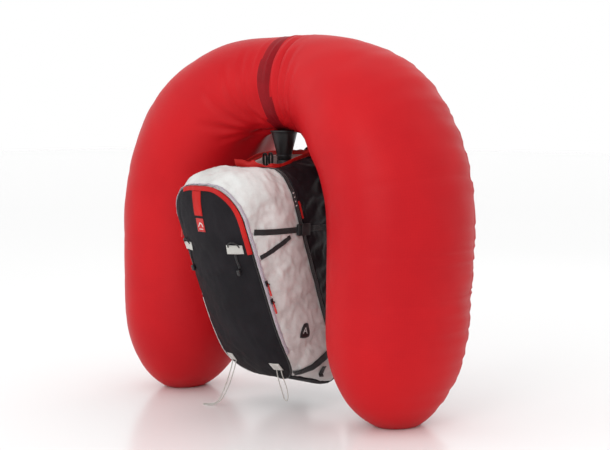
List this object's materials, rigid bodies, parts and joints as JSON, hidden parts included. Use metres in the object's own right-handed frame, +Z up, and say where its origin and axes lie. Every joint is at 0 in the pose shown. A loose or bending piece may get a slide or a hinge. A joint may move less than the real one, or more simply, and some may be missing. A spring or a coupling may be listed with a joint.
{
  "type": "avalanche airbag backpack",
  "caption": "Ski-touring backpack with an inflated arch-shaped airbag whose two lobes hang beside the pack, with harness, zips and inflation system.",
  "frame": {"origin": "on the floor, below the middle of the whole object's box", "axes": "+X to the wearer's right, +Y from the front panel towards the wearer's back, +Z up"},
  "size_m": [1.0358, 0.5525, 0.9227],
  "materials": {
    "aluminium": "satin",
    "black_cloth": "matte",
    "black_plastic": "satin",
    "black_webbing": "matte",
    "charcoal_cloth": "matte",
    "flap_rubber": "matte",
    "gas_steel": "gloss",
    "hose_rubber": "matte",
    "light_grey_cloth": "matte",
    "pin_steel": "satin",
    "red_airbag_cloth": "satin",
    "red_plastic": "gloss",
    "red_trim": "matte",
    "valve_brass": "satin",
    "white_cord": "matte",
    "white_plastic": "matte",
    "zip_coil": "satin",
    "zip_metal": "satin",
    "zip_tape": "matte"
  },
  "bodies": {
    "pack": {"airbag_left": "red_airbag_cloth", "airbag_right": "red_airbag_cloth", "airbag_centre_band": "red_airbag_cloth", "inflation_neck": "black_cloth", "front_panel": "charcoal_cloth", "side_panel_right": "light_grey_cloth", "side_panel_left": "light_grey_cloth", "top_panel": "light_grey_cloth", "base_panel": "black_cloth", "divider_panel": "black_cloth", "bay_sides": "black_cloth", "back_panel": "black_cloth", "bay_mouth_piping": "red_trim", "front_zip_welt": "red_trim", "main_zip_tape": "zip_tape", "main_zip_coil": "zip_coil", "crest_strap": "red_trim", "side_badge": "black_cloth", "axe_keepers": "light_grey_cloth", "loop_tabs": "light_grey_cloth", "axe_loop_right": "white_cord", "axe_loop_left": "white_cord", "side_straps": "black_webbing", "side_buckle_sockets": "black_plastic", "lower_straps": "black_webbing", "frame_sheet": "white_plastic", "frame_stays": "aluminium", "back_pads": "black_cloth", "shoulder_straps": "black_cloth", "strap_tails": "black_webbing", "strap_adjusters": "black_plastic", "haul_loop": "black_webbing", "chest_rails": "black_plastic", "ejector_body": "black_plastic", "pressure_hose": "hose_rubber", "valve_head": "valve_brass", "cartridge_cradle": "black_cloth", "trigger_cable": "hose_rubber", "trigger_holder": "black_plastic"},
    "handle": {"trigger_handle": "red_plastic"},
    "striker": {"striker_pin": "pin_steel"},
    "gas": {"cartridge": "gas_steel", "burst_disc": "aluminium"},
    "flap": {"ejector_flap": "flap_rubber"},
    "upper_slider": {"zip_slider_upper": "zip_metal"},
    "lower_slider": {"zip_slider_lower": "zip_metal"},
    "upper_puller": {"zip_puller_upper": "red_plastic"},
    "lower_puller": {"zip_puller_lower": "red_plastic"},
    "side_plug_right": {"side_buckle_plug_right": "black_plastic"},
    "side_plug_left": {"side_buckle_plug_left": "black_plastic"},
    "chest_strap": {"chest_clips": "black_plastic", "chest_webbing": "black_webbing", "chest_socket": "black_plastic"},
    "chest_release": {"chest_plug": "black_plastic"},
    "wing_right": {"hip_wing_right": "black_cloth", "hip_webbing_right": "black_webbing", "hip_socket": "black_plastic"},
    "wing_left": {"hip_wing_left": "black_cloth", "hip_webbing_left": "black_webbing", "hip_plug": "black_plastic"}
  },
  "joints": [
    {"name": "trigger_pull", "type": "slide", "parent": "pack", "child": "handle", "axis": [0, 0, -1], "range_m": [0, 0.045]},
    {"name": "striker_slide", "type": "slide", "parent": "pack", "child": "striker", "axis": [0, 0, -1], "range_m": [0, 0.00701]},
    {"name": "cartridge_unscrew", "type": "slide", "parent": "pack", "child": "gas", "axis": [0, 0, -1], "range_m": [0, 0.03]},
    {"name": "flap_lift", "type": "slide", "parent": "pack", "child": "flap", "axis": [0, 0, 1], "range_m": [0, 0.006], "stiffness_N_per_m": 25, "springref_m": -0.004},
    {"name": "upper_zip_run", "type": "slide", "parent": "pack", "child": "upper_slider", "axis": [0, -0.381, 0.9246], "range_m": [0, 0.11]},
    {"name": "lower_zip_run", "type": "slide", "parent": "pack", "child": "lower_slider", "axis": [0, 0.381, -0.9246], "range_m": [0, 0.022]},
    {"name": "upper_puller_swing", "type": "hinge", "parent": "upper_slider", "child": "upper_puller", "pos_m": [0.121, -0.16357, 0.32602], "axis": [0, -0.9246, -0.381], "range_deg": [0, 85]},
    {"name": "lower_puller_swing", "type": "hinge", "parent": "lower_slider", "child": "lower_puller", "pos_m": [0.121, -0.1455, 0.28202], "axis": [0, -0.9246, -0.381], "range_deg": [0, 85]},
    {"name": "side_release_right", "type": "slide", "parent": "pack", "child": "side_plug_right", "axis": [0, -1, 0], "range_m": [0, 0.022]},
    {"name": "side_release_left", "type": "slide", "parent": "pack", "child": "side_plug_left", "axis": [0, -1, 0], "range_m": [0, 0.022]},
    {"name": "chest_height", "type": "slide", "parent": "pack", "child": "chest_strap", "axis": [0, 0, 1], "range_m": [-0.022, 0.022]},
    {"name": "chest_release_slide", "type": "slide", "parent": "chest_strap", "child": "chest_release", "axis": [1, 0, 0], "range_m": [0, 0.02]},
    {"name": "hip_wing_right_fold", "type": "hinge", "parent": "pack", "child": "wing_right", "pos_m": [0.126, 0.11046, 0.105], "axis": [0, 0, 1], "range_deg": [-10, 30]},
    {"name": "hip_wing_left_fold", "type": "hinge", "parent": "pack", "child": "wing_left", "pos_m": [-0.126, 0.11046, 0.105], "axis": [0, 0, -1], "range_deg": [-10, 30]}
  ],
  "couplings": [
    {"joint": "striker_slide", "follows": "trigger_pull", "ratio": 0.1555}
  ]
}
